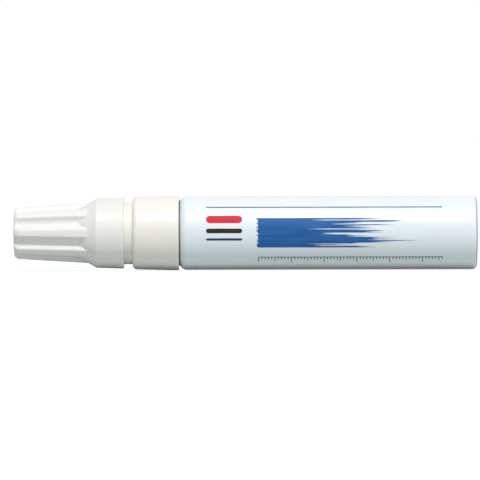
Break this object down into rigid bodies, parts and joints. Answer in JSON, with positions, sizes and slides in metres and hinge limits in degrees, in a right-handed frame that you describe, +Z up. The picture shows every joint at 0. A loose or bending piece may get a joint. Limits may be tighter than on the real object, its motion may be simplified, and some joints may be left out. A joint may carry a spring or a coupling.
{
  "type": "paint marker",
  "caption": "Broad-tip valve-action paint marker with a fluted push-on cap, a plastic collar, a lacquered can barrel and a sprung felt nib.",
  "frame": {"origin": "on the surface that the marker lies on, under the middle of its length", "axes": "+X along the marker's axis from the cap to the closed end of the barrel, +Z up, the side in the picture faces -Y"},
  "size_m": [0.1418, 0.0228, 0.0228],
  "materials": {
    "cap_plastic": "satin",
    "liner_plastic": "satin",
    "barrel_lacquer": "gloss",
    "collar_plastic": "gloss",
    "mouthpiece_plastic": "satin",
    "seal_rubber": "matte",
    "nib_felt": "matte",
    "valve_plastic": "satin",
    "spring_steel": "polished",
    "ball_steel": "polished"
  },
  "bodies": {
    "barrel": {"barrel": "barrel_lacquer", "collar": "collar_plastic", "mouthpiece": "mouthpiece_plastic", "flange_gasket": "seal_rubber", "valve_seat": "valve_plastic", "valve_cage": "valve_plastic", "valve_spring": "spring_steel"},
    "cap": {"cap_shell": "cap_plastic", "inner_cap": "liner_plastic"},
    "nib": {"nib": "nib_felt", "valve_stem": "valve_plastic", "valve_seal": "seal_rubber"},
    "ball_1": {"mixing_ball_1": "ball_steel"},
    "ball_2": {"mixing_ball_2": "ball_steel"}
  },
  "joints": [
    {"name": "cap_pull", "type": "slide", "parent": "barrel", "child": "cap", "axis": [-1, 0, 0], "range_m": [0, 0.04]},
    {"name": "nib_press", "type": "slide", "parent": "barrel", "child": "nib", "axis": [1, 0, 0], "range_m": [0, 0.002], "stiffness_N_per_m": 500, "springref_m": -0.003, "deforming": ["valve_spring"]},
    {"name": "ball_1_run", "type": "slide", "parent": "barrel", "child": "ball_1", "axis": [1, 0, 0], "range_m": [-0.0157, 0.0641]},
    {"name": "ball_2_run", "type": "slide", "parent": "barrel", "child": "ball_2", "axis": [1, 0, 0], "range_m": [-0.0417, 0.0381]}
  ]
}
